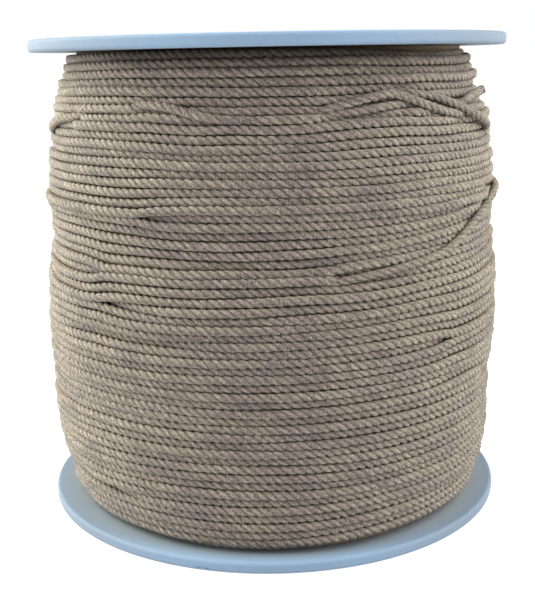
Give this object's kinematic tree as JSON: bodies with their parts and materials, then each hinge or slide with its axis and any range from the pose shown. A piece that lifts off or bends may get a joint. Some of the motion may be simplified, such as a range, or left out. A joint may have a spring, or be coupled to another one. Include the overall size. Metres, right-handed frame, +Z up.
{
  "type": "hemp rope on a flanged reel",
  "caption": "Thin three-strand hemp rope wound in a deep barrel-shaped bundle on a round flanged plastic reel, with its loose end tucked under a crossing turn.",
  "frame": {"origin": "centre of the lower flange's outer face, on which the reel stands", "axes": "+Z up along the reel's axis; -Y towards the side that shows the crossing turns, with the loose end to the right, towards +X"},
  "size_m": [0.25, 0.25, 0.248],
  "materials": {
    "pale_plastic": "satin, faintly translucent, pale bluish white",
    "hemp": "natural grey-brown hemp fibre, matt"
  },
  "bodies": {
    "root": {"lower_flange": "pale_plastic", "upper_flange": "pale_plastic", "winding": "hemp", "loose_end": "hemp"}
  },
  "joints": []
}
